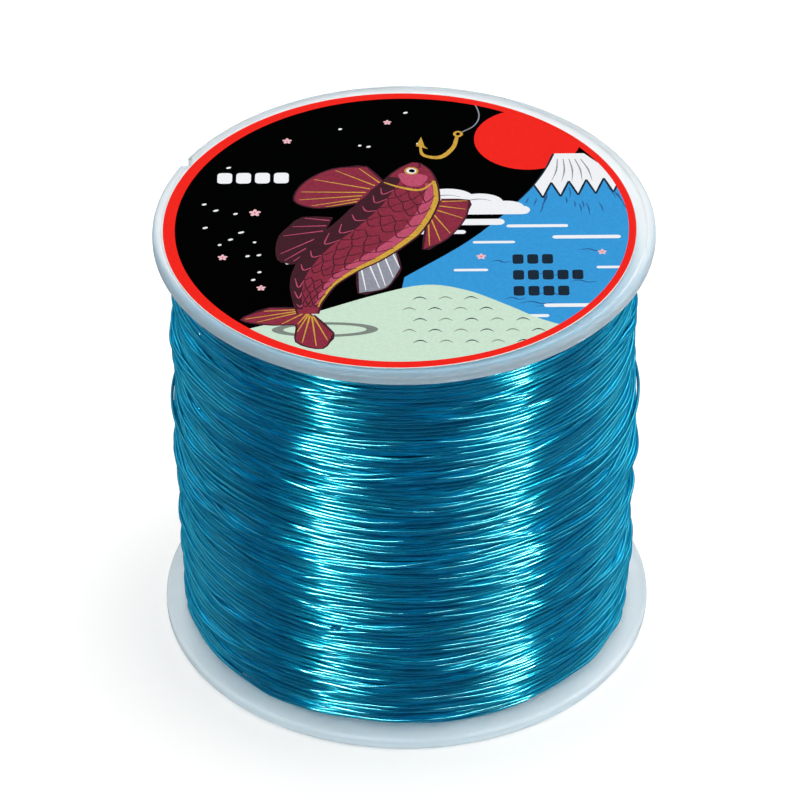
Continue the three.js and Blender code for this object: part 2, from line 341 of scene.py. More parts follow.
# -------------------------------------------------------------------- winding
# The finished pack: height above the lower flange's inner face, radius.
PACK_PROFILE = np.array([
    [0.0, 27.9], [0.9, 28.3], [3.0, 28.42], [5.5, 28.6], [8.5, 28.75], [12.5, 28.8],
    [16.5, 28.78], [20.0, 28.98], [24.0, 29.15], [27.5, 29.12], [30.5, 28.92], [34.0, 28.82],
    [38.0, 28.95], [41.5, 28.92], [45.0, 28.78], [49.0, 28.78], [52.5, 28.7], [55.3, 28.5],
])
LEVEL_STEP = 0.05
LEVELS = np.arange(GAP_Z0, GAP_Z1 + 1e-9, LEVEL_STEP)  # heights of the height map's columns
PACK_R = np.interp(LEVELS - RIM_T, PACK_PROFILE[:, 0], PACK_PROFILE[:, 1])
TURN_N = 240  # samples in a turn
SEAM = 90.0  # azimuth where one turn's samples end and the next begin, at the back
LEAD = 30  # samples each turn overlaps its neighbours by
WIND_SIDES = 8
WIND_PARTS = 7

# How the simulated winding behaves.
WIND_SEED = 5
START_DEPTH = 1.5  # simulated thickness of line
FULL_BIAS = 0.1  # how far the target surface lies under the pack profile
TOP_ROOM = 0.12  # room left under the target surface
PITCHES = (1.0, 1.6, 2.4, 3.4)  # one is drawn for each pass
WANDER = 0.30  # random drift in height
SLIP_STEP = 0.1  # sideways steps a strand may slip by
SLIP = np.arange(-9, 10)
BEND_COST = 4.0  # against sharp sideways bends
STRAY_COST = 0.05  # against slipping far
CHORD_R = 29.0  # radius that the sag of a taut chord is measured on
MAX_TURNS = 1500


def level_of(z, margin=0):
    """Index of the nearest level, kept margin levels away from the ends."""
    nearest = np.round((z - GAP_Z0) / LEVEL_STEP).astype(int)
    return np.clip(nearest, margin, len(LEVELS) - 1 - margin)


def smooth_noise(rng, count, spacing):
    """Smooth noise with one random value every spacing samples."""
    values = rng.standard_normal(int(np.ceil(count / spacing)) + 4)
    x = np.arange(count) / spacing + 1
    i = x.astype(int)
    t = x - i
    t = t * t * (3 - 2 * t)
    return values[i] * (1 - t) + values[i + 1] * t


def gauss(x, sigma):
    reach = int(3 * sigma) + 1
    kernel = np.exp(-0.5 * (np.arange(-reach, reach + 1) / sigma) ** 2)
    return np.convolve(np.pad(x, reach, mode="edge"), kernel / kernel.sum(), "valid")


def round_section(radius):
    """Level offsets across a circle and the circle's height at each."""
    reach = int(radius / LEVEL_STEP)
    offsets = np.arange(-reach, reach + 1)
    heights = np.sqrt(np.maximum(radius * radius - (offsets * LEVEL_STEP) ** 2, 0))
    return offsets, heights


def cheapest_path(cost, step_cost):
    """The column to take in each row, so that the columns and the steps between cost least."""
    best = cost[0].copy()
    back = np.zeros(cost.shape, int)
    columns = np.arange(cost.shape[1])
    for i in range(1, len(cost)):
        options = best[None, :] + step_cost
        back[i] = options.argmin(1)
        best = options[columns, back[i]] + cost[i]
    path = np.zeros(len(cost), int)
    path[-1] = best.argmin()
    for i in range(len(cost) - 1, 0, -1):
        path[i - 1] = back[i, path[i]]
    return path


def pull_taut(radii, last_radii):
    """Spans hollows in straight chords, starting from where the last turn left off."""
    for _ in range(3):
        for span in (16, 8, 4, 2, 1):
            if last_radii is not None:
                radii[:LEAD] = last_radii
            sag = CHORD_R * (1 - np.cos(span * (2 * np.pi / TURN_N)))
            chord = 0.5 * (radii[2 * span :] + radii[: -2 * span]) - sag
            raised = radii.copy()
            raised[span:-span] = np.maximum(radii[span:-span], chord)
            radii = raised
    return radii


def wind():
    """Lays turns on the pack until it is full. Returns the height map and each turn's (z, r)."""
    rng = np.random.default_rng(WIND_SEED)
    full = PACK_R - FULL_BIAS
    surface = np.repeat((full - START_DEPTH)[None, :], TURN_N, 0)
    rest = surface + LINE_R  # radius at which a strand's centre comes to rest
    own_offsets, own_heights = round_section(LINE_R)
    next_offsets, next_heights = round_section(2 * LINE_R)
    samples = np.arange(-LEAD, TURN_N + LEAD)
    sample_row = samples % TURN_N
    own = slice(LEAD, LEAD + TURN_N)
    rows = np.arange(TURN_N)[:, None]
    z_low, z_high = GAP_Z0 + LINE_R + 0.03, GAP_Z1 - LINE_R - 0.03
    step_cost = BEND_COST * (SLIP_STEP * (SLIP[:, None] - SLIP[None, :])) ** 2
    wander = smooth_noise(rng, 400_000, 0.5 * TURN_N)
    join = 8
    ease = 0.5 + 0.5 * np.cos(np.pi * np.arange(join) / join)
    turns = []
    z, direction, pos, base_pitch = z_low + 0.1, 1.0, 0, 1.6
    mean_surface = surface.mean(0)
    z_end = last_r = last_z = None

    def lay(grid, level, offsets, raised):
        """Raises the grid under the strand's section. Returns the levels touched."""
        touched = np.clip(level[own, None] + offsets[None, :], 0, len(LEVELS) - 1)
        grid[rows, touched] = np.maximum(grid[rows, touched], raised)
        return touched

    while len(turns) < MAX_TURNS:
        remain = full - TOP_ROOM - mean_surface
        left = np.clip(remain, -0.3, None).mean()
        if left < 0.012:
            break
        # It slows down where the pack is low nearby and hurries where it is full.
        window = np.exp(-0.5 * ((LEVELS - z) / 0.9) ** 2)
        local = (remain * window).sum() / window.sum()
        need = np.clip(local / max(left, 0.04), 0.12, 5.0) ** 1.3
        pitch = float(np.clip(base_pitch / need, 0.40, 12.0))
        course = z + direction * pitch * samples / TURN_N
        course = course + WANDER * wander[(pos + samples) % len(wander)]
        pos += TURN_N
        if z_end is not None:
            # It carries on from the last turn, drifting back to its own course.
            fade = np.exp(-np.arange(TURN_N + LEAD) / (TURN_N / 5))
            course[LEAD:] += (z_end - course[LEAD]) * fade
            course[:LEAD] = last_z
        course = np.clip(course, z_low, z_high)
        # Sideways, it slips into the lowest groove it can reach without bending sharply.
        reached = level_of(course[::3, None] + SLIP_STEP * SLIP[None, :], margin=4)
        cost = rest[sample_row[::3, None], reached] - PACK_R[reached]
        cost = cost + STRAY_COST * (SLIP_STEP * SLIP[None, :]) ** 2
        if z_end is not None:
            cost[: LEAD // 3 + 1] += 100.0 * (SLIP != 0)
        slip = SLIP_STEP * SLIP[cheapest_path(cost, step_cost)]
        laid_z = gauss(course + np.interp(samples, samples[::3], slip), 3.0)
        if z_end is not None:
            laid_z[LEAD : LEAD + join] += (z_end - laid_z[LEAD]) * ease
            laid_z[:LEAD] = last_z
        laid_z = np.clip(laid_z, z_low, z_high)
        level = level_of(laid_z)
        laid_r = pull_taut(rest[sample_row, level].copy(), last_r)
        lay(rest, level, next_offsets, laid_r[own, None] + next_heights[None, :])
        touched = lay(surface, level, own_offsets, laid_r[own, None] + own_heights[None, :])
        low, high = touched.min(), touched.max() + 1
        mean_surface[low:high] = surface[:, low:high].mean(0)
        turns.append((laid_z[own].copy(), laid_r[own].copy()))
        z_end = 2 * laid_z[LEAD + TURN_N - 1] - laid_z[LEAD + TURN_N - 2]
        last_r, last_z = laid_r[own][-LEAD:].copy(), laid_z[own][-LEAD:].copy()
        z += direction * pitch
        if z > z_high - 0.05 or z < z_low + 0.05:
            direction = -direction
            z = float(np.clip(z, z_low + 0.1, z_high - 0.1))
            base_pitch = float(rng.choice(PITCHES))
    return surface, turns


def wound_path():
    """The whole winding as one path: azimuths, radii, heights, which samples can be seen, and
    the height map."""
    surface, turns = wind()
    z = np.concatenate([turn[0] for turn in turns])
    r = np.concatenate([turn[1] for turn in turns])
    # Where two turns meet at the seam their radii can differ a little; ease that out.
    for start in range(TURN_N, len(z), TURN_N):
        step = r[start] - r[start - 1]
        weight = np.linspace(0.5, 0, 8)
        r[start : start + 8] -= step * weight
        r[start - 8 : start] += step * weight[::-1]
    r = gauss(r, 1.2)
    # A sample shows if any part of its outer side is at, or just under, the surface.
    row = np.arange(len(z)) % TURN_N
    seen = np.zeros(len(z), bool)
    for across in (-0.85, -0.5, 0.0, 0.5, 0.85):
        outer = r + LINE_R * math.sqrt(1 - across * across)
        seen |= surface[row, level_of(z + across * LINE_R)] - outer < 0.24
    seen = np.convolve(seen, np.ones(13), "same") > 0
    azimuths = np.radians(SEAM) + np.arange(len(z)) * 2 * np.pi / TURN_N
    return azimuths, r, z, seen, surface


def kept_runs(keep):
    """(start, end) of each run of kept samples."""
    edge = np.flatnonzero(np.diff(np.concatenate([[0], keep.astype(np.int8), [0]])))
    return zip(edge[::2], edge[1::2])


def strand_tubes(azimuths, radii, heights, keep, sides, radius, round_ends=False):
    """Closed tubes along a path of samples, one for each run of kept samples.
    Returns verts and quad faces; the ends close with a strip of quads."""
    verts, quads = [], []
    base = 0
    phi = (np.arange(sides) + 0.5) * 2 * np.pi / sides
    for start, end in kept_runs(keep):
        n = end - start
        if n < 3:
            continue
        az, r, z = azimuths[start:end], radii[start:end], heights[start:end]
        tube_r = np.full(n, radius)
        centre = np.stack([r * np.cos(az), r * np.sin(az), z], 1)
        outward = np.stack([np.cos(az), np.sin(az), np.zeros(n)], 1)
        if round_ends:
            before = centre[0] - centre[1]
            before /= np.linalg.norm(before)
            after = centre[-1] - centre[-2]
            after /= np.linalg.norm(after)
            # (tube radius, distance past the end) of three closing rings
            dome = [(np.sqrt(1 - u * u) * radius, u * radius) for u in (0.35, 0.75, 0.97)]
            head = [centre[0] + before * past for _, past in dome[::-1]]
            tail = [centre[-1] + after * past for _, past in dome]
            centre = np.concatenate([head, centre, tail])
            outward = np.concatenate([outward[:1].repeat(3, 0), outward, outward[-1:].repeat(3, 0)])
            dome_r = [ring_r for ring_r, _ in dome]
            tube_r = np.concatenate([dome_r[::-1], tube_r, dome_r])
            n += 6
        section = (
            np.cos(phi)[None, :, None] * outward[:, None, :]
            + np.sin(phi)[None, :, None] * np.array([0, 0, 1.0])
        )
        rings = centre[:, None, :] + tube_r[:, None, None] * section
        verts.append(rings.reshape(-1, 3))
        k = base + np.arange(n * sides).reshape(n, sides)
        beside = np.roll(k, -1, 1)
        wall = np.stack([k[:-1], k[1:], beside[1:], beside[:-1]], -1)
        quads.append(wall.reshape(-1, 4))
        # End caps as quads between mirrored pairs of ring points.
        for ring, flip in ((k[0], False), (k[-1], True)):
            cap = np.array([
                [ring[q], ring[q + 1], ring[sides - 2 - q], ring[sides - 1 - q]]
                for q in range(sides // 2 - 1)
            ])
            quads.append(cap[:, ::-1] if flip else cap)
        base += n * sides
    return np.concatenate(verts), np.concatenate(quads)


def split_parts(z, depth, keep):
    """Sorts the kept runs by height and shares them out, so no piece grows too large.
    A long run is cut where the strand passes deepest under others; both sides keep the sample
    at the cut, so their ends meet."""
    runs = []
    for start, end in kept_runs(keep):
        while end - start > 1600:
            cut = start + 900 + int(np.argmax(depth[start + 900 : start + 1500]))
            runs.append((start, cut + 1, z[start:cut].mean()))
            start = cut
        if end - start >= 3:
            runs.append((start, end, z[start:end].mean()))
    runs.sort(key=lambda run: run[2])
    total = sum(end - start for start, end, _ in runs)
    parts, part, count = [], [], 0
    for start, end, _ in runs:
        part.append((start, end))
        count += end - start
        if count > total / WIND_PARTS and len(parts) < WIND_PARTS - 1:
            parts.append(part)
            part, count = [], 0
    parts.append(part)
    return parts


def build_winding(material):
    azimuths, r, z, keep, surface = wound_path()
    depth = surface[np.arange(len(z)) % TURN_N, level_of(z)] - r
    # The outer envelope, a little wider than a strand, to measure depth from.
    envelope = surface.copy()
    for k in range(1, 7):
        envelope[:, k:] = np.maximum(envelope[:, k:], surface[:, :-k])
        envelope[:, :-k] = np.maximum(envelope[:, :-k], surface[:, k:])
    for i, part in enumerate(split_parts(z, depth, keep)):
        # Two sides of a cut that fall in the same part join again in the mask.
        mask = np.zeros(len(z), bool)
        for start, end in part:
            mask[start:end] = True
        verts, quads = strand_tubes(azimuths, r, z, mask, WIND_SIDES, LINE_R)
        name = f"wound_line_{i + 1}"
        obj = new_object(name, mesh_from(name, verts, quads))
        # How far each point lies under the envelope, in mm, for the material.
        from_seam = np.degrees(np.arctan2(verts[:, 1], verts[:, 0])) - SEAM
        row = np.round((from_seam % 360) / 360 * TURN_N).astype(int) % TURN_N
        outer = envelope[row, level_of(verts[:, 2])]
        sunk = np.clip(outer - np.hypot(verts[:, 0], verts[:, 1]), 0, 1)
        attribute = obj.data.attributes.new("sunk", "FLOAT", "POINT")
        attribute.data.foreach_set("value", sunk.astype(np.float32))
        obj.data.materials.append(material)
        register(obj, "spool", "outer_wraps" if i == 0 else None)


line_mat = line_material("line_nylon", deep=(0.0002, 0.045, 0.122), bright=(0.0003, 0.090, 0.204))
build_winding(line_mat)

# --------------------------------------------------- the last turn and free end
LOOSE_R = 0.2  # radius of the strand
TURN_R = 29.31
LIFT_AZ, LIFT_Z = 75.0, 32.2  # where the free end leaves the pack
TURN_PITCH = 2.4
TURN_SPAN, TAIL_SPAN = 351.0, 36.0  # degrees
DIVE_FROM, DIVE_DEPTH = 0.955, 0.42  # the turn's upper end sinks into the pack
TAIL_LIFT = 0.9


def loose_strand(name, degrees, radii, node):
    """A round-ended strand on the last turn's helix."""
    z = LIFT_Z + (degrees - LIFT_AZ) / 360 * TURN_PITCH
    keep = np.ones(len(z), bool)
    verts, quads = strand_tubes(np.radians(degrees), radii, z, keep, 12, LOOSE_R, round_ends=True)
    obj = new_object(name, mesh_from(name, verts, quads))
    obj.data.materials.append(line_mat)
    register(obj, node, node)


t = np.linspace(0, 1, 260)
dive = np.clip((t - DIVE_FROM) / (1 - DIVE_FROM), 0, 1)
turn_radii = TURN_R - DIVE_DEPTH * dive**2
loose_strand("outermost_turn", LIFT_AZ + TURN_SPAN * t, turn_radii, "last_turn")

t = np.linspace(0, 1, 48)[::-1]
tail_radii = TURN_R + TAIL_LIFT * t**2.2
loose_strand("loose_end", LIFT_AZ - TAIL_SPAN * t, tail_radii, "free_end")

# -------------------------------------------------------------------- flanges
# In a flange's own frame the inner face is at z = 0 and the outer face at z = RIM_T.
BORE_R, BORE_COLLAR_R, BORE_COLLAR_FOOT = 5.5, 7.3, -9
RING_IN_R, RING_OUT_R, RING_FOOT = 14.6, 16.1, -6.2  # the wider collar
SEAT_DEPTH = 0.3  # the sticker's seat under the outer face
RIM_IN_ROUND, RIM_OUT_ROUND = 0.52, 0.62
# The rim rolls down to the seat: radius, depth under the outer face.
RIM_ROLL = [
    (30.12, 0.006), (30.03, 0.03), (29.95, 0.09), (29.90, 0.17),
    (29.86, 0.24), (29.80, 0.285), (29.7, SEAT_DEPTH),
]
FLANGE_COLUMNS = 288
SLIT_W, SLIT_DEPTH, SLIT_MOUTH = 1.7, 1.25, 0.42
FIRST_AZ = 17.5  # azimuth the ribs, wedges and holes are spaced from


def arc(centre_r, centre_z, start, end, radius, steps):
    angles = [math.radians(start + (end - start) * i / steps) for i in range(steps + 1)]
    return [(centre_r + radius * math.cos(a), centre_z + radius * math.sin(a)) for a in angles]


def flange_profile():
    """The closed section of the flange as (radius, z)."""
    seat = RIM_T - SEAT_DEPTH
    rim_in, rim_out = RIM_IN_ROUND, RIM_OUT_ROUND
    profile = [
        # bore collar
        *arc(BORE_R + 0.15, BORE_COLLAR_FOOT + 0.15, 180, 270, 0.15, 2),
        *arc(BORE_COLLAR_R - 0.2, BORE_COLLAR_FOOT + 0.2, -90, 0, 0.2, 3),
        # hub face and wider collar
        *arc(7.25 + 0.35, -0.35, 180, 90, 0.35, 3),
        *arc(RING_IN_R - 0.35, -0.35, 90, 0, 0.35, 3),
        *arc(RING_IN_R + 0.2, RING_FOOT + 0.2, 180, 270, 0.2, 2),
        *arc(RING_OUT_R - 0.35, RING_FOOT + 0.35, -90, 0, 0.35, 3),
        *arc(RING_OUT_R + 0.2, -0.2, 180, 90, 0.2, 2),
        # inner face and rim
        (22.0, 0.0), (28.6, 0.0), (29.6, 0.0),
        *arc(FLANGE_R - rim_in, rim_in, -90, 0, rim_in, 8),
        *arc(FLANGE_R - rim_out, RIM_T - rim_out, 0, 90, rim_out, 9),
        *((r, RIM_T - drop) for r, drop in RIM_ROLL),
        # seat and the edge of the bore
        (20.0, seat), (6.2, seat),
        *arc(BORE_R + 0.6, seat - 0.6, 90, 180, 0.6, 4),
    ]
    return np.array(profile)


def slit_cap(from_slit, z):
    """The largest radius each point may have, so the rim takes the slit's shape. The slit is
    round-bottomed, wider near both faces, and flares at its mouth."""
    off = np.abs(np.radians(from_slit)[:, None] * FLANGE_R)
    near_face = np.clip(1 - np.minimum(z, RIM_T - z) / 0.22, 0, 1)
    half_width = SLIT_W / 2 + 0.16 * near_face**2
    u = np.clip(off / half_width, 0, 1)
    root = FLANGE_R - SLIT_DEPTH + SLIT_W / 2
    bottom = root - np.sqrt(np.maximum(0, 1 - u**2)) * (SLIT_W / 2) - 0.10 * near_face**2
    over = np.clip(off - half_width, 0, None)
    to_edge = SLIT_MOUTH - np.minimum(over, SLIT_MOUTH)
    mouth = FLANGE_R - SLIT_MOUTH + np.sqrt(np.clip(SLIT_MOUTH**2 - to_edge**2, 0, None))
    beside = np.where(over < SLIT_MOUTH, mouth, 99.0)
    return np.where(off < half_width, bottom, beside)


def flange_mesh(name, keeper_az):
    profile = flange_profile()
    # Columns: even, and dense across the slit.
    half = math.degrees((SLIT_W / 2 + 0.75) / FLANGE_R)
    even = np.arange(FLANGE_COLUMNS) * 360.0 / FLANGE_COLUMNS
    clear = np.abs((even - keeper_az + 180) % 360 - 180) > half + 0.1
    dense = keeper_az + np.linspace(-half, half, 61)
    columns = np.sort(np.concatenate([even[clear], dense % 360]))
    shape = (len(columns), len(profile))
    r = np.repeat(profile[None, :, 0], len(columns), 0)
    z = np.repeat(profile[None, :, 1], len(columns), 0)
    cap = slit_cap((columns - keeper_az + 180) % 360 - 180, z)
    r = np.where(profile[None, :, 0] > 27.0, np.minimum(r, cap), r)
    az = np.radians(columns)[:, None]
    verts = np.stack([r * np.cos(az), r * np.sin(az), z], -1).reshape(-1, 3)
    k = np.arange(shape[0] * shape[1]).reshape(shape)
    beside = np.roll(k, -1, 0)
    quads = np.stack([k, beside, np.roll(beside, -1, 1), np.roll(k, -1, 1)], -1)
    mesh = mesh_from(name, verts, quads.reshape(-1, 4))
    with edited(mesh) as bm:
        bmesh.ops.remove_doubles(bm, verts=bm.verts, dist=2e-7)
        bmesh.ops.dissolve_degenerate(bm, dist=2e-7, edges=bm.edges)
        bmesh.ops.recalc_face_normals(bm, faces=bm.faces)
    return mesh


def extrusion(name, lower, upper, flip=False):
    """A closed solid between two like outlines of 3D points."""
    n = len(lower)
    ends = [list(range(n)), list(range(n, 2 * n))]
    ends[1 if flip else 0].reverse()
    pairs = [(i, (i + 1) % n) for i in range(n)]
    if flip:
        pairs = [(j, i) for i, j in pairs]
    faces = ends + [[i, j, n + j, n + i] for i, j in pairs]
    return new_object(name, mesh_from(name, np.array(lower + upper), faces, smooth=False))


def prism(name, outline, z0, z1, azimuth=0.0):
    """A closed prism from an (x, y) outline, turned by azimuth degrees."""
    c, s = math.cos(math.radians(azimuth)), math.sin(math.radians(azimuth))
    points = [(x * c - y * s, x * s + y * c) for x, y in outline]
    return extrusion(name, [(x, y, z0) for x, y in points], [(x, y, z1) for x, y in points])


def rib(i):
    """A radial rib between the two collars."""
    outline = [(7.0, -0.55), (15.0, -0.6), (15.0, 0.6), (7.0, 0.55)]
    return prism(f"rib_{i}", outline, -3.4, 0.35, FIRST_AZ + 30 + 60 * i)


def barb(i):
    """A wedge on the outside of the wider collar."""
    section = [  # radius, z
        (15.6, -3.1), (15.6, -4.8), (16.1, -4.8), (17.0, -3.5), (17.05, -3.15), (17.0, -3.1),
    ]
    a = math.radians(FIRST_AZ + 90 * i)
    c, s = math.cos(a), math.sin(a)
    sides = [[(r * c - y * s, r * s + y * c, z) for r, z in section] for y in (-2.2, 2.2)]
    return extrusion(f"barb_{i}", *sides, flip=True)


def hole(i):
    """A round hole through the hub face."""
    a = math.radians(FIRST_AZ + 120 * i)
    cx, cy = 10.9 * math.cos(a), 10.9 * math.sin(a)
    angles = np.linspace(0, 2 * np.pi, 49)[:-1]
    outline = [(cx + 2 * math.cos(q), cy + 2 * math.sin(q)) for q in angles]
    return prism(f"hole_{i}", outline, -1, 3)


def boolean(target, tools, operation):
    for tool in tools:
        modifier = target.modifiers.new("b", "BOOLEAN")
        modifier.operation = operation
        modifier.solver = "EXACT"
        modifier.object = tool
    depsgraph = bpy.context.evaluated_depsgraph_get()
    evaluated = target.evaluated_get(depsgraph)
    mesh = bpy.data.meshes.new_from_object(evaluated, depsgraph=depsgraph)
    target.modifiers.clear()
    old = target.data
    target.data = mesh
    bpy.data.meshes.remove(old)
    for tool in tools:
        bpy.data.objects.remove(tool)
    mesh.name = target.name


def build_flange(name, keeper_az, matrix, node, material):
    obj = new_object(name, flange_mesh(name, keeper_az))
    boolean(obj, [rib(i) for i in range(6)] + [barb(i) for i in range(4)], "UNION")
    boolean(obj, [hole(i) for i in range(3)], "DIFFERENCE")
    mesh = obj.data
    mesh.transform(matrix)
    shade_smooth(mesh)
    sharpen(mesh, 38)
    mesh.materials.clear()
    mesh.materials.append(material)
    register(obj, "spool", node)


plastic_lower = plastic_material(
    "milky_polypropylene", tint=(0.775, 0.808, 0.826), transmission=0.80, roughness=0.50
)
plastic_upper = plastic_material(
    "milky_polypropylene_upper", tint=(0.785, 0.812, 0.830), transmission=0.88, roughness=0.48
)
raised = Matrix.Translation((0, 0, (SPOOL_H - RIM_T) * MM))
build_flange("upper_flange_moulding", KEEPER_TOP_AZ, raised, "top_flange", plastic_upper)
# The lower flange is the same moulding turned over about X, which mirrors its azimuths.
turned_over = Matrix.Translation((0, 0, RIM_T * MM)) @ Matrix.Rotation(math.pi, 4, "X")
build_flange(
    "lower_flange_moulding", -KEEPER_BOTTOM_AZ, turned_over, "bottom_flange", plastic_lower
)

# ------------------------------------------------------- carried-over CAD nodes
core_mat = plastic_material(
    "core_polypropylene", tint=(0.90, 0.93, 0.94), transmission=0.45, roughness=0.35
)
packed_mat = line_material("packed_line", deep=(0.0005, 0.06, 0.13), bright=(0.001, 0.12, 0.22))
for node_name, node_mat in (
    ("core_barrel", core_mat), ("line_pack", packed_mat), ("tied_inner_end", packed_mat)
):
    node_materials = frame["nodes"][node_name].data.materials
    node_materials.clear()
    node_materials.append(node_mat)

# -------------------------------------------------------------------- sticker
# All printed shapes are generic and drawn here, seen from above; later ones lie on top.
RING_R = LABEL_R - 0.06  # the red ring, inside a thin paper edge
ART_R, ART_X = 27.94, LABEL_X + 0.28
EDGE_N = 256
# ink: sRGB colour, roughness, specular, mottling
INKS = {
    "paper": ((232, 230, 226), 0.45, 0.20, 0.03),
    "red": ((228, 24, 10), 0.42, 0.04, 0.04),
    "black": ((1, 0, 0), 0.50, 0.004, 0.3),
    "white": ((226, 227, 230), 0.42, 0.16, 0.02),
    "blue": ((40, 142, 204), 0.40, 0.08, 0.06),
    "blue_dark": ((20, 82, 140), 0.38, 0.14, 0.08),
    "green": ((190, 214, 194), 0.42, 0.12, 0.04),
    "green_dark": ((116, 124, 116), 0.42, 0.14, 0.06),
    "ink": ((18, 34, 52), 0.42, 0.05, 0.2),
    "crimson": ((132, 24, 52), 0.40, 0.12, 0.18),
    "maroon": ((62, 6, 26), 0.40, 0.10, 0.2),
    "rose": ((178, 64, 96), 0.40, 0.14, 0.12),
    "gold": ((196, 150, 38), 0.36, 0.20, 0.16),
    "grey": ((136, 138, 150), 0.40, 0.14, 0.1),
    "pink": ((226, 176, 184), 0.42, 0.16, 0.04),
}
INK_ORDER = list(INKS)
shapes = []  # (ink, outline)


def put(ink, points):
    shapes.append((ink, np.asarray(points, float)))


def curve(points, closed=False, steps=6):
    """A smooth curve through the points (Catmull-Rom)."""
    P = np.asarray(points, float)
    n = len(P)
    out = []
    for i in range(n if closed else n - 1):
        if closed:
            a, b, c, d = P[(i - 1) % n], P[i], P[(i + 1) % n], P[(i + 2) % n]
        else:
            b, c = P[i], P[i + 1]
            a = P[i - 1] if i else 2 * b - c
            d = P[i + 2] if i + 2 < n else 2 * c - b
        square, cube = 2 * a - 5 * b + 4 * c - d, 3 * b - a - 3 * c + d
        for u in np.arange(steps) / steps:
            out.append(0.5 * (2 * b + (c - a) * u + square * u**2 + cube * u**3))
    if not closed:
        out.append(P[-1])
    return np.array(out)


def stroke(points, start, end=None, steps=5, mid=None):
    """The outline of a brush stroke along a smooth curve, with its widths along the way."""
    line = curve(points, steps=steps)
    end = start if end is None else end
    t = np.linspace(0, 1, len(line))
    if mid is None:
        width = np.interp(t, [0, 1], [start, end])
    else:
        width = np.interp(t, [0, 0.5, 1], [start, mid, end])
    along = np.gradient(line, axis=0)
    along /= np.linalg.norm(along, axis=1)[:, None] + 1e-12
    side = np.stack([-along[:, 1], along[:, 0]], 1) * (width[:, None] / 2)
    return np.concatenate([line + side, (line - side)[::-1]])


def oval(cx, cy, rx, ry=None, n=16, turn=0.0):
    ry = rx if ry is None else ry
    angles = np.arange(n) * 2 * np.pi / n
    x, y = rx * np.cos(angles), ry * np.sin(angles)
    c, s = math.cos(turn), math.sin(turn)
    return np.stack([cx + x * c - y * s, cy + x * s + y * c], 1)


def bar(x0, x1, y, height):
    """A bar with round ends."""
    r = height / 2
    angles = np.linspace(-np.pi / 2, np.pi / 2, 7)
    right = np.stack([x1 - r + r * np.cos(angles), y + r * np.sin(angles)], 1)
    left = np.stack([x0 + r - r * np.cos(angles), y - r * np.sin(angles)], 1)
    return np.concatenate([right, left])


def block_row(ink, x, y, count, pitch, width, height, corner=0.35):
    """A row of plain blocks with rounded corners."""
    r = min(corner, width / 2 - 1e-3, height / 2 - 1e-3)
    top, bottom = y + height / 2 - r, y - height / 2 + r
    for i in range(count):
        left, right = x + pitch * i + r, x + pitch * i + width - r
        outline = []
        for cx, cy, start in (
            (right, top, 0), (left, top, 90), (left, bottom, 180), (right, bottom, 270)
        ):
            outline += arc(cx, cy, start, start + 90, r, 4)
        put(ink, outline)


PEAK = np.array([20.4, 20.5])


def streak(ink, start, length, width):
    """A short brush line running down the slope, away from the peak."""
    start = np.array(start, float)
    down = start - PEAK
    down /= np.linalg.norm(down)
    bow = np.array([-down[1], down[0]]) * 0.05 * length
    points = [start, start + down * length * 0.5 + bow, start + down * length]
    put(ink, stroke(points, width * 0.5, 0.03, mid=width, steps=3))


def draw_mountain(rng):
    """Sun, snow-capped mountain and the sea below it."""
    put("red", oval(15.6, 18.6, 6.7, n=48))
    left = curve([(0.0, -10.8), (8.0, -3.2), (14.0, 4.8), (17.2, 10.8), (18.8, 15.4)], steps=5)
    right = curve([(22.6, 15.4), (25.2, 12.2), (28.4, 8.6), (31.4, 5.6)], steps=5)
    put("blue", np.concatenate([left, right, [(30.0, -24.0), (18.0, -22.0), (-1.0, -18.0)]]))
    # The snow cap ends in teeth.
    cap_left, cap_right = left[left[:, 1] > 7.6], right[right[:, 1] > 9.4]
    first, last = cap_right[-1], cap_left[0]
    drops = [0] + [-3.0 if i % 2 else 0.2 for i in range(1, 10)] + [0]
    teeth = np.array([first + (last - first) * i / 10 + (0, drops[i]) for i in range(11)])
    put("white", np.concatenate([cap_left, cap_right, teeth[1:-1]]))
    for p0, p1 in zip(teeth[:-1], teeth[1:]):
        put("ink", stroke([p0, (p0 + p1) / 2, p1], 0.26, 0.26, mid=0.30, steps=3))
    put("ink", stroke(left[8:][::-1][::4], 0.30, 0.10, steps=4))
    # Even streaks down the snow, and gullies below it.
    for u in (0.1, 0.3, 0.5, 0.7, 0.9):
        streak("grey", (18.9 + 3.6 * u, 14.2), length=5.0, width=0.22)
    for _ in range(20):
        i = rng.integers(0, len(teeth) - 1)
        edge = teeth[i] + (teeth[i + 1] - teeth[i]) * rng.random()
        down = (edge - PEAK) / np.linalg.norm(edge - PEAK)
        start = edge + down * (0.8 + 2.4 * rng.random())
        streak("blue_dark", start, length=0.9 + 2.2 * rng.random(), width=0.18)
    # Waves.
    for _ in range(9):
        x, y, reach = rng.uniform(6, 24), rng.uniform(-19, -4), rng.uniform(1.2, 2.2)
        wave = [
            (x - reach, y), (x - 0.3 * reach, y + 0.30),
            (x + 0.3 * reach, y - 0.12), (x + reach, y + 0.1),
        ]
        put("blue_dark", stroke(wave, 0.06, 0.06, mid=0.24, steps=4))


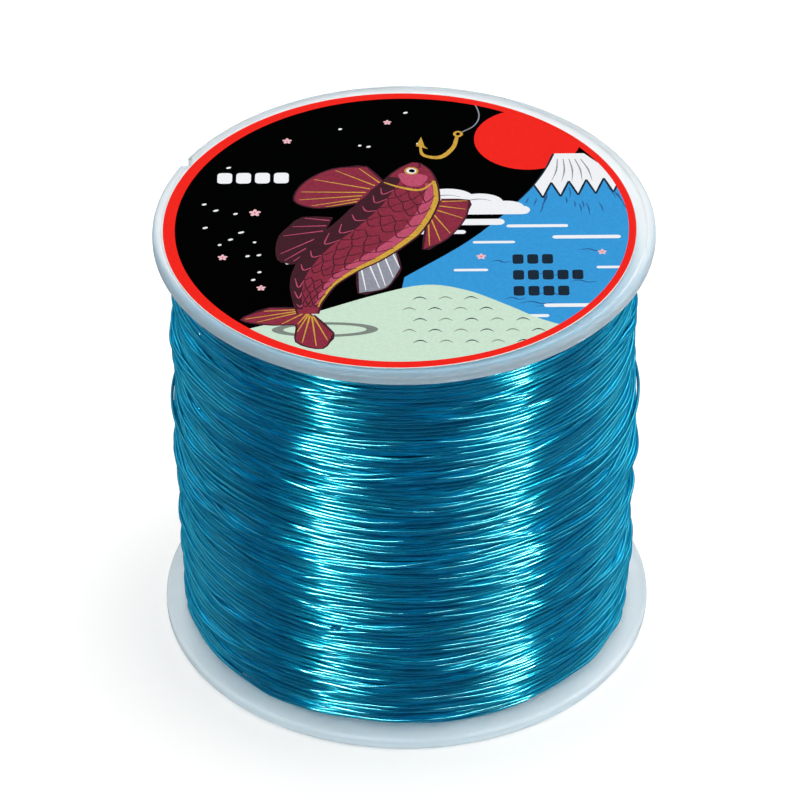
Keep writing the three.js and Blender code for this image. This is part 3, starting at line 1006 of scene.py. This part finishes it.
def draw_clouds():
    """Cloud bars over the sea and a bank of cloud in the middle."""
    for x0, x1, y, height in (
        (12.6, 20.2, -0.2, 0.6), (18.2, 26.6, -2.6, 0.7), (8.4, 13.6, -3.6, 0.5),
        (16.8, 23.6, -16.8, 0.7), (12.2, 17.4, -18.9, 0.6), (6.0, 10.2, -9.4, 0.5),
        (23.4, 27.0, -9.0, 0.5),
    ):
        put("white", bar(x0, x1, y, height))
    for x, y, rx, ry in (
        (1.6, 4.4, 3.0, 1.7), (5.4, 5.6, 3.4, 2.3), (9.4, 4.9, 2.9, 1.9), (12.6, 4.0, 2.2, 1.2)
    ):
        put("white", oval(x, y, rx, ry, n=28))
    for x0, x1, y, height in (
        (-2.0, 15.6, 3.2, 1.8), (3.4, 12.4, 0.7, 1.3), (1.0, 7.6, -1.4, 0.8)
    ):
        put("white", bar(x0, x1, y, height))
    for x, y, rx, ry in ((5.4, 5.0, 2.4, 1.5), (9.4, 4.4, 2.0, 1.2)):
        crest = [
            (x - rx, y), (x - 0.6 * rx, y + 0.8 * ry), (x + 0.1 * rx, y + ry),
            (x + 0.7 * rx, y + 0.7 * ry),
        ]
        put("grey", stroke(crest, 0.05, 0.05, mid=0.2))


def draw_shore():
    """Green shore, with rows of plain ripple marks."""
    crest = [
        (-30.0, -25.6), (-20.0, -21.6), (-12.0, -18.4), (-4.0, -14.6), (2.4, -12.4),
        (7.6, -13.6), (12.6, -16.8), (18.0, -20.4), (30.0, -25.0),
    ]
    put("green", np.concatenate([curve(crest, steps=5), [(30.0, -40.0), (-30.0, -40.0)]]))
    put("green_dark", oval(-9.6, -21.4, 6.4, 1.5, n=36))
    put("green", oval(-9.6, -21.4, 5.0, 1.0, n=32))
    for row in range(5):
        y = -15.4 - 2.2 * row
        for i in range(3 + row):
            x = 1.0 + 3.1 * i - 1.3 * (row % 2)
            ripple = [(x, y), (x + 0.55, y + 0.42), (x + 1.1, y + 0.42), (x + 1.65, y)]
            ink = "green_dark" if (i + row) % 2 else "ink"
            put(ink, stroke(ripple, 0.07, 0.07, mid=0.24))


def draw_stars(rng):
    for _ in range(22):
        r, angle = 6.0 + 19.5 * math.sqrt(rng.random()), math.radians(rng.uniform(80, 215))
        x, y, rx = r * math.cos(angle), r * math.sin(angle), 0.22 + 0.22 * rng.random()
        # None behind the row of white blocks.
        if not (x < -12.6 and 8.2 < y < 12.8):
            put("white", oval(x, y, rx, 0.2, n=10, turn=0.4))


# The fish's body: a spine from head to tail, and half widths (fraction along it, half width).
SPINE = curve([
    (-6.6, 15.4), (-5.6, 12.4), (-4.5, 8.0), (-4.2, 3.0), (-5.0, -2.6), (-6.6, -8.4),
    (-7.0, -14.0), (-5.8, -18.6), (-4.4, -21.6),
])
BODY_WIDTHS = np.array([
    (0, 0.4), (0.05, 1.7), (0.12, 2.8), (0.25, 4.5), (0.42, 5.3), (0.58, 4.8),
    (0.75, 3.1), (0.9, 1.7), (1.0, 1.2),
])
BODY_T = np.linspace(0, 1, len(SPINE))
BODY_W = np.interp(BODY_T, BODY_WIDTHS[:, 0], BODY_WIDTHS[:, 1])
spine_dir = np.gradient(SPINE, axis=0)
spine_dir /= np.linalg.norm(spine_dir, axis=1)[:, None]
BODY_SIDE = np.stack([-spine_dir[:, 1], spine_dir[:, 0]], 1)  # towards +x
# root ends, outer edge, ink, ray ink, rays, ray width; the last is the tail
FINS = [
    (((-8.6, 9.4), (-9.6, 3.6)),
     [(-12.2, 11.6), (-16.0, 9.2), (-18.0, 4.8), (-17.4, 0.6), (-14.4, 0.2), (-12.0, 1.6)],
     "crimson", "gold", 7, 0.22),
    (((0.2, 9.0), (0.9, 3.2)),
     [(3.6, 10.4), (4.8, 6.4), (4.6, 1.2), (3.0, -2.2)],
     "crimson", "gold", 6, 0.22),
    (((-11.0, -1.0), (-10.0, -8.0)),
     [(-14.6, -2.6), (-15.4, -7.6), (-13.2, -12.4), (-10.8, -12.0)],
     "maroon", "rose", 6, 0.22),
    (((-0.4, -4.0), (-2.8, -10.0)),
     [(2.0, -7.4), (2.2, -12.0), (-0.4, -14.6)],
     "grey", "white", 5, 0.22),
    (((-5.4, -20.8), (-3.6, -21.6)),
     [(-9.4, -22.6), (-11.6, -26.4), (-7.4, -25.6), (-4.6, -24.4), (-3.0, -27.6),
      (0.6, -27.4), (0.4, -24.0)],
     "crimson", "gold", 9, 0.24),
]
FISH_LEAN = math.radians(-26)


def flank(f0, f1, t0=0.0, t1=1.0):
    """A strip of the body between two fractions of its half width, from t0 to t1 along it."""
    part = (BODY_T >= t0) & (BODY_T <= t1)
    near, far = (SPINE + BODY_SIDE * (BODY_W * f)[:, None] for f in (f0, f1))
    return np.concatenate([near[part], far[part][::-1]])


def body_points(*places):
    """Points on the body from (fraction along it, fraction of the half width)."""
    out = []
    for t, f in places:
        i = np.interp(t, BODY_T, np.arange(len(BODY_T)))
        j = int(min(max(i, 0), len(BODY_T) - 1))
        out.append(SPINE[j] + BODY_SIDE[j] * BODY_W[j] * f)
    return out


def draw_fin(root, edge, ink, ray_ink, rays, ray_width):
    """A fin: filled from its root to a curved outer edge, with rays."""
    outer = curve(edge, steps=4)
    r0, r1 = np.array(root[0]), np.array(root[1])
    put("maroon", stroke(np.concatenate([[r0], outer[::2], [r1]]), 0.5, steps=2))
    put(ink, np.concatenate([[r0], outer, [r1]]))
    for u in np.linspace(0.08, 0.92, rays):
        p0 = r0 + (r1 - r0) * u
        p1 = outer[int(u * (len(outer) - 1))]
        ray = [p0 + 0.06 * (p1 - p0), (p0 + p1) / 2, p0 + 0.94 * (p1 - p0)]
        put(ray_ink, stroke(ray, ray_width, ray_width * 0.5, steps=2))


def draw_fish():
    """A leaping fish, drawn upright and then leant to the right."""
    first = len(shapes)
    for fin in FINS:
        draw_fin(*fin)
    border = BODY_SIDE * (BODY_W + 0.28)[:, None]
    put("maroon", np.concatenate([SPINE + border, (SPINE - border)[::-1]]))
    put("crimson", flank(-1, 1))
    put("maroon", flank(-1, -0.45, 0.14, 0.96))
    put("rose", flank(0.55, 0.82, 0.16, 0.92))
    put("gold", flank(0.84, 1.0, 0.14, 0.95))
    # scales
    for i, t in enumerate(np.arange(0.22, 0.95, 0.034)):
        for f in (-0.66, -0.22, 0.22, 0.66) if i % 2 else (-0.44, 0.0, 0.44):
            scale = body_points((t - 0.012, f - 0.22), (t + 0.018, f), (t - 0.012, f + 0.22))
            put("maroon" if f > -0.5 else "rose", stroke(scale, 0.1, 0.1, mid=0.24, steps=3))
    # head in profile: gill cover, cheek, mouth, eye
    gill = body_points((0.19, -0.98), (0.225, -0.3), (0.22, 0.4), (0.16, 0.98))
    put("gold", stroke(gill, 0.2, 0.2, mid=0.5))
    cheek = body_points(
        (0.145, -0.7), (0.19, -0.2), (0.19, 0.35), (0.145, 0.7), (0.12, 0.3), (0.115, -0.3)
    )
    put("rose", curve(cheek, closed=True, steps=4))
    put("maroon", stroke(body_points((0.02, 1.0), (0.045, 0.45), (0.05, 0.1)), 0.3, 0.12))
    ((x, y),) = body_points((0.085, -0.18))
    put("gold", oval(x, y, 0.95, 0.9, n=20))
    put("white", oval(x, y, 0.68, 0.64, n=18))
    put("black", oval(x + 0.06, y + 0.05, 0.42, 0.4, n=16))
    c, s = math.cos(FISH_LEAN), math.sin(FISH_LEAN)
    for i in range(first, len(shapes)):
        ink, points = shapes[i]
        x, y = ((points - (-5.0, -3.0)) * 0.93).T
        shapes[i] = (ink, np.stack([x * c - y * s, x * s + y * c], 1) + (-4.6, -2.4))


def draw_hook():
    """A gilt hook above the fish's mouth, on a thin line."""
    shift = np.array((7.4, -0.6))
    line = [(-0.4, 20.6), (1.6, 22.4), (2.2, 25.0), (1.2, 29.0)]
    bend = [(-0.6, 20.0), (-1.2, 17.4), (-2.8, 15.4), (-4.9, 15.9), (-5.3, 18.2)]
    barb_outline = [(-5.8, 17.9), (-5.15, 19.9), (-4.75, 17.9), (-4.3, 17.2)]
    put("grey", stroke(line, 0.16, 0.16, steps=8) + shift)
    put("gold", stroke(bend, 0.46, 0.24, mid=0.72, steps=7) + shift)
    put("gold", np.array(barb_outline) + shift)
    put("gold", oval(-0.5, 20.5, 0.62, 0.68, n=18) + shift)
    put("black", oval(-0.5, 20.5, 0.28, 0.34, n=12) + shift)


def draw_blossoms():
    for x, y, r in (
        (-18.4, 3.0, 0.34), (-22.2, -6.4, 0.28), (-14.6, 18.6, 0.28), (9.4, -6.6, 0.28),
        (24.2, -5.8, 0.26), (-2.0, 22.6, 0.24), (-17.4, -12.8, 0.26),
    ):
        for i in range(5):
            a = math.radians(90 + 72 * i)
            px, py = x + r * 1.25 * math.cos(a), y + r * 1.25 * math.sin(a)
            put("pink", oval(px, py, r, r * 0.72, n=9, turn=a))
        put("rose", oval(x, y, r * 0.42, n=8))


def draw_blocks():
    """Rows of plain blocks where a label carries its wording."""
    block_row("white", -23.2, 10.5, count=4, pitch=2.35, width=1.85, height=2.3, corner=0.5)
    for y, count in ((-7.2, 3), (-10.5, 5), (-13.8, 4)):
        block_row("ink", 13.2, y, count=count, pitch=1.8, width=1.35, height=2.0)


def drawn_in(points):
    """The outline with long edges near the art's edge divided, and points beyond that edge
    drawn back to just outside it."""
    out = []
    for p0, p1 in zip(points, np.roll(points, -1, 0)):
        n = 1
        if max(np.hypot(*p0), np.hypot(*p1)) > 26:
            n = max(1, int(math.ceil(np.linalg.norm(p1 - p0) / 0.8)))
        out += [p0 + (p1 - p0) * i / n for i in range(n)]
    offset = np.array(out) - (ART_X, 0)
    r = np.linalg.norm(offset, axis=1)
    return offset * (np.minimum(r, ART_R + 0.35) / np.maximum(r, 1e-9))[:, None] + (ART_X, 0)


def inside(points, outline):
    """Which points lie in the outline, by winding number, as strokes may cross themselves."""
    x, y = points.T
    hit = np.zeros(len(points), bool)
    (x0, y0), (x1, y1) = outline.min(0), outline.max(0)
    near = np.flatnonzero((x >= x0) & (x <= x1) & (y >= y0) & (y <= y1))
    if len(near) == 0:
        return hit
    ax, ay = outline.T[:, None, :]
    bx, by = np.roll(outline, -1, 0).T[:, None, :]
    px, py = x[near, None], y[near, None]
    side = (bx - ax) * (py - ay) - (px - ax) * (by - ay)
    up = (ay <= py) & (by > py) & (side > 0)
    down = (ay > py) & (by <= py) & (side < 0)
    hit[near] = (up.sum(1) - down.sum(1)) != 0
    return hit


def print_face():
    """The printed face cut along every outline: points, triangles and each one's ink."""
    art_edge = oval(ART_X, 0, ART_R, n=EDGE_N)
    outlines = [(ink, drawn_in(points)) for ink, points in shapes]
    loops = [oval(LABEL_X, 0, LABEL_R, n=EDGE_N), oval(LABEL_X, 0, RING_R, n=EDGE_N), art_edge]
    verts, edges = [], []
    for points in loops + [outline for _, outline in outlines]:
        base, n = len(verts), len(points)
        verts.extend(Vector((float(x), float(y))) for x, y in points)
        edges.extend((base + i, base + (i + 1) % n) for i in range(n))
    flat, _, faces, *_ = delaunay_2d_cdt(verts, edges, [], 0, 1e-5)
    flat = np.array([tuple(p) for p in flat])
    triangles = np.array([f for f in faces if len(f) == 3])
    centres = flat[triangles].mean(1)
    ink_ids = np.full(len(triangles), INK_ORDER.index("paper"))
    in_ring = np.hypot(centres[:, 0] - LABEL_X, centres[:, 1]) < RING_R * math.cos(math.pi / EDGE_N)
    ink_ids[in_ring] = INK_ORDER.index("red")
    in_art = inside(centres, art_edge)
    ink_ids[in_art] = INK_ORDER.index("black")
    for ink, outline in outlines:
        ink_ids[in_art & inside(centres, outline)] = INK_ORDER.index(ink)
    return flat, triangles, ink_ids


def build_sticker():
    """A closed disc: printed top, paper side and back."""
    flat, triangles, ink_ids = print_face()
    n_top = len(flat)
    # The outermost points in order of azimuth; those further in sort after them.
    dx, dy = flat[:, 0] - LABEL_X, flat[:, 1]
    order = np.argsort(np.arctan2(dy, dx) + 100 * (np.hypot(dx, dy) < LABEL_R - 1e-3))
    on_rim = order[:EDGE_N]
    top = np.column_stack([flat, np.full(n_top, LABEL_Z1)])
    low = np.column_stack([flat[on_rim], np.full(EDGE_N, LABEL_Z0)])
    faces = [list(f) for f in triangles]
    for i in range(EDGE_N):
        j = (i + 1) % EDGE_N
        faces.append([int(on_rim[i]), n_top + i, n_top + j, int(on_rim[j])])
    faces.append([n_top + i for i in range(EDGE_N)][::-1])
    mesh = mesh_from("printed_sticker", np.concatenate([top, low]), faces, smooth=False)
    with edited(mesh) as bm:
        bmesh.ops.recalc_face_normals(bm, faces=bm.faces)
    for ink, (colour, roughness, specular, mottling) in INKS.items():
        mesh.materials.append(
            print_material("ink_" + ink, srgb(*colour), roughness, specular, mottling)
        )
    ids = np.concatenate([ink_ids, np.zeros(EDGE_N + 1, int)]).astype(np.int32)
    mesh.polygons.foreach_set("material_index", ids)
    register(new_object("printed_sticker", mesh), "spool", "top_label")


art_rng = np.random.default_rng(7)
draw_mountain(art_rng)
draw_clouds()
draw_shore()
draw_stars(art_rng)
draw_fish()
draw_hook()
draw_blossoms()
draw_blocks()
build_sticker()


# ---------------------------------------------------------------------- stage
def build_floor():
    """A white floor that mirror rays see darker and the camera sees lifted."""
    half = 9000
    corners = [(-half, -half, 0), (half, -half, 0), (half, half, 0), (-half, half, 0)]
    floor = new_object("studio_floor", mesh_from("floor", corners, [[0, 1, 2, 3]], smooth=False))
    g = Graph(bpy.data.materials.new("studio_floor_white"))
    path = g.node("LightPath")
    white, mirrored = (0.93, 0.915, 0.90, 1), (0.25, 0.25, 0.25, 1)
    g.surface(g.node("BsdfPrincipled", {
        "Base Color": g.mix(g.mirror_rays(path), white, mirrored),
        "Roughness": 0.6,
        "Specular IOR Level": 0.1,
        "Emission Color": (1, 0.95, 0.91, 1),
        "Emission Strength": g.math("MULTIPLY", path.outputs["Is Camera Ray"], 0.235),
    }))
    floor.data.materials.append(g.owner)


# Brightness of the set: from the camera side to the back, then what each side adds.
WORLD_FRONT, WORLD_BACK = 0.18, 1.25
WORLD_RIGHT, WORLD_LEFT, WORLD_TOP = 0.62, -0.12, 0.12
# The same for glossy surfaces.
GLOSS_FRONT, GLOSS_RIGHT, GLOSS_LEFT = 0.02, 0.45, 0.08
GLOSS_TINT = (0.6, 0.96, 1.0, 1)


def build_world():
    world = bpy.data.worlds.new("studio")
    bpy.context.scene.world = world
    g = Graph(world, output="OutputWorld")
    direction = g.node("SeparateXYZ", {0: g.node("TexCoord").outputs["Generated"]})
    depth = g.map_range(direction.outputs["Y"], source=(-1.0, 1.0), target=(0.0, 1.0))

    def by_depth(stops):
        colours = [(position, (c, c, c * 1.01)) for position, c in stops]
        return g.node("RGBToBW", {0: g.ramp(depth, colours)}).outputs[0]

    def add_side(total, axis, sign, eased, gain):
        """Adds gain for directions well over to one side, easing in over a range."""
        value = g.math("MULTIPLY", direction.outputs[axis], float(sign))
        side = g.map_range(
            value, source=eased, target=(0.0, gain), interpolation_type="SMOOTHSTEP"
        )
        return g.math("ADD", total, side)

    # The soft light, from the dim camera side to the white back wall, more from the right.
    soft = by_depth([(0.0, WORLD_FRONT), (0.55, WORLD_BACK)])
    soft = add_side(soft, "X", 1, eased=(0.0, 1.0), gain=WORLD_RIGHT)
    soft = add_side(soft, "X", -1, eased=(0.0, 1.0), gain=WORLD_LEFT)
    soft = add_side(soft, "Z", 1, eased=(0.2, 1.0), gain=WORLD_TOP)
    # Glossy surfaces see a dark room in front, brighter only at the sides and back.
    gloss = by_depth([(0.0, GLOSS_FRONT), (0.42, GLOSS_FRONT * 2), (0.62, 0.32), (0.84, 0.6)])
    gloss = add_side(gloss, "X", 1, eased=(0.35, 0.95), gain=GLOSS_RIGHT)
    gloss = add_side(gloss, "X", -1, eased=(0.5, 0.98), gain=GLOSS_LEFT)
    gloss = g.mix(1.0, gloss, GLOSS_TINT, blend="MULTIPLY")
    colour = g.mix(g.mirror_rays(g.node("LightPath")), soft, gloss)
    g.surface(g.node("Background", {"Color": colour, "Strength": 1.0}))


def light_groups():
    """Collections that lights are limited to."""
    names = ("strands", "others", "mouldings", "lower")
    groups = {name: bpy.data.collections.new("lit_" + name) for name in names}
    line_names = ("wound_line", "outermost_turn", "loose_end", "line_pack", "tied_inner_end")
    for obj in list(bpy.context.scene.objects):
        if obj.type != "MESH":
            continue
        group = "strands" if obj.name.startswith(line_names) else "others"
        groups[group].objects.link(obj)
        if "flange" in obj.name:
            groups["mouldings"].objects.link(obj)
        if obj.name.startswith("lower_flange"):
            groups["lower"].objects.link(obj)
    return groups


WHITE, CYAN = (1, 1, 1), (0.55, 0.95, 1.0)
# Name, azimuth (0 in front, positive towards +X) and elevation in degrees, distance, width and
# height in metres, watts, colour, the group it lights.
SOFTBOXES = [
    # Tall flagged strips rake the line; everything else gets much weaker ones.
    ("strip_left", -38, 42, 0.7, 0.080, 1.15, 22, WHITE, "strands"),
    ("strip_right", 54, 42, 0.7, 0.076, 1.15, 21, WHITE, "strands"),
    ("strip_left_weak", -38, 42, 0.7, 0.125, 0.70, 2.4, WHITE, "others"),
    ("strip_right_weak", 53, 42, 0.7, 0.115, 0.70, 2.2, WHITE, "others"),
    # Two soft cards in front lift the mouldings' edges.
    ("card_low", 0, 8, 0.5, 0.5, 0.2, 2.2, (0.78, 0.93, 1.0), "mouldings"),
    ("card_high", 0, 45, 0.5, 0.5, 0.3, 1.0, (0.88, 0.96, 1.0), "lower"),
    # Blue-green sheen down the sides of the winding.
    ("side_left", -142, 40, 0.7, 0.34, 0.36, 1.2, CYAN, "strands"),
    ("side_left_line", -113, 42, 0.7, 0.40, 0.36, 1.4, CYAN, "strands"),
    ("side_right", 134, 44, 0.7, 0.48, 0.30, 4.6, (0.45, 0.92, 1.0), "strands"),
    # The room's white walls, for the plastic.
    ("wall_back", 180, 24, 0.8, 1.2, 0.6, 4.4, WHITE, "mouldings"),
    ("wall_right", 95, 25, 0.8, 0.9, 0.6, 3.6, WHITE, "mouldings"),
    ("wall_left", -100, 25, 0.8, 0.9, 0.6, 1.6, WHITE, "mouldings"),
]
LIGHT_TARGET = Vector((0, 0, 0.03))


def softbox(name, azimuth, elevation, distance, width, height, watts, colour, group, groups):
    light = bpy.data.lights.new(name, "AREA")
    light.shape = "RECTANGLE"
    light.size, light.size_y = width, height
    light.energy = watts
    light.color = colour
    obj = bpy.data.objects.new(name, light)
    bpy.context.scene.collection.objects.link(obj)
    az, el = math.radians(azimuth), math.radians(elevation)
    away = Vector((math.sin(az) * math.cos(el), -math.cos(az) * math.cos(el), math.sin(el)))
    place = LIGHT_TARGET + distance * away
    obj.location = place
    obj.rotation_euler = (LIGHT_TARGET - place).to_track_quat("-Z", "Y").to_euler()
    # Only the lights meant for the mouldings give diffuse light.
    obj.visible_diffuse = group in ("mouldings", "lower")
    obj.light_linking.receiver_collection = groups[group]


# --------------------------------------------------------------------- camera
CAM_ELEVATION = math.radians(37.1258)
CAM_DISTANCE = 22.6039 * FLANGE_R * MM
CAM_TARGET_Z = 1.01487 * FLANGE_R * MM  # height on the axis that it looks at
CAM_X, CAM_ROLL = -0.66 * MM, math.radians(-0.45)
SENSOR, FOCAL = 36, 250.299


def build_camera():
    data = bpy.data.cameras.new("camera")
    cam = bpy.data.objects.new("camera", data)
    bpy.context.scene.collection.objects.link(cam)
    data.sensor_width = SENSOR
    data.lens = FOCAL
    data.clip_start = 0.01
    c, s = math.cos(CAM_ELEVATION), math.sin(CAM_ELEVATION)
    cam.location = (CAM_X, -CAM_DISTANCE * c, CAM_TARGET_Z + CAM_DISTANCE * s)
    cam.rotation_mode = "QUATERNION"
    aim = Vector((0, c, -s)).to_track_quat("-Z", "Y")
    cam.rotation_quaternion = aim @ Quaternion((0, 0, 1), CAM_ROLL)
    bpy.context.scene.camera = cam


build_floor()
build_world()
lit = light_groups()
for box in SOFTBOXES:
    softbox(*box, groups=lit)
build_camera()
bpy.context.scene.view_settings.view_transform = "Standard"
